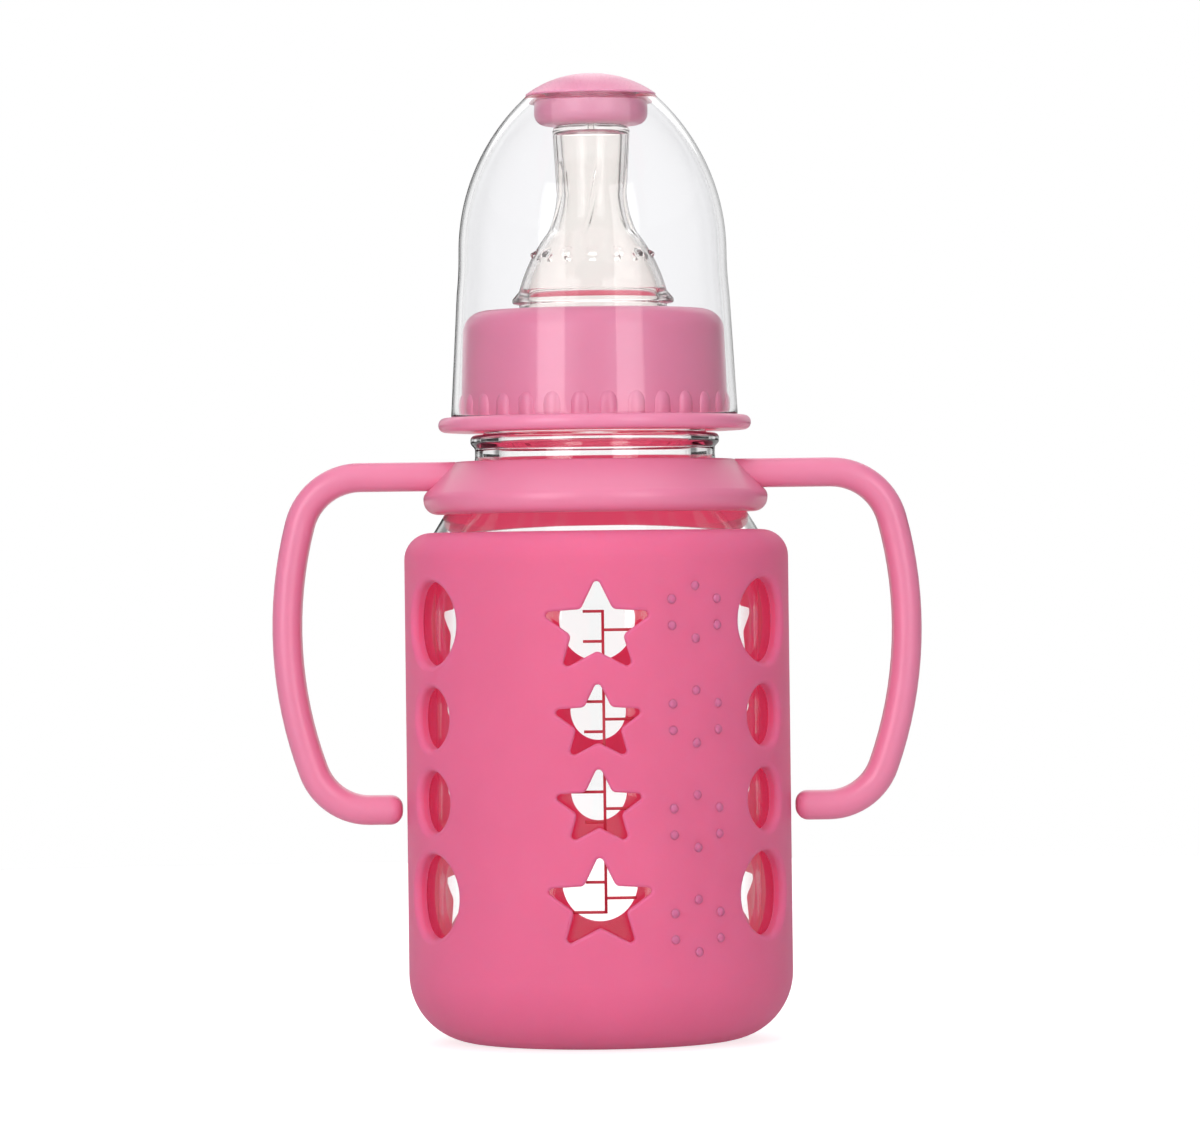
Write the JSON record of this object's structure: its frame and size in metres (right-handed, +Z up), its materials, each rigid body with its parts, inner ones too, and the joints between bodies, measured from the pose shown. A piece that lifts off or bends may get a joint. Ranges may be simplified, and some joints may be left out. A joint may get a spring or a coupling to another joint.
{
  "type": "baby bottle",
  "caption": "Glass feeding bottle in a silicone sleeve with star and round windows, a swivelling ring with two handles, screw collar, teat and clear pull-off hood.",
  "frame": {"origin": "centre of the flat base ring that the sleeve stands on", "axes": "+Z up along the bottle's axis, +X along the handles, the front with its star column faces -Y"},
  "size_m": [0.1036, 0.0614, 0.1546],
  "materials": {
    "clear_glass": "clear polished borosilicate glass",
    "pink_silicone": "matte pink silicone",
    "pink_plastic": "satin pink polypropylene",
    "collar_plastic": "satin pink polypropylene",
    "clear_silicone": "clear silicone, slightly milky",
    "clear_plastic": "clear polypropylene",
    "plug_plastic": "satin pink polypropylene"
  },
  "bodies": {
    "bottle": {"glass_bottle": "clear_glass", "silicone_sleeve": "pink_silicone"},
    "teat_body": {"teat": "clear_silicone"},
    "collar": {"screw_collar": "collar_plastic"},
    "hood_body": {"hood": "clear_plastic", "hood_plug": "plug_plastic"},
    "handles": {"handle_ring": "pink_plastic"}
  },
  "joints": [
    {"name": "collar_lift", "type": "slide", "parent": "bottle", "child": "teat_body", "axis": [0, 0, 1], "range_m": [0, 0.00505]},
    {"name": "collar_turn", "type": "hinge", "parent": "teat_body", "child": "collar", "pos_m": [0, 0, 0.107], "axis": [0, 0, 1], "range_deg": [0, 450]},
    {"name": "hood_pull", "type": "slide", "parent": "collar", "child": "hood_body", "axis": [0, 0, 1], "range_m": [0, 0.06]},
    {"name": "handle_swivel", "type": "hinge", "parent": "bottle", "child": "handles", "pos_m": [0, 0, 0.088], "axis": [0, 0, 1], "continuous": true}
  ],
  "couplings": [
    {"joint": "collar_lift", "follows": "collar_turn", "m_per_rad": 0.00063662}
  ]
}
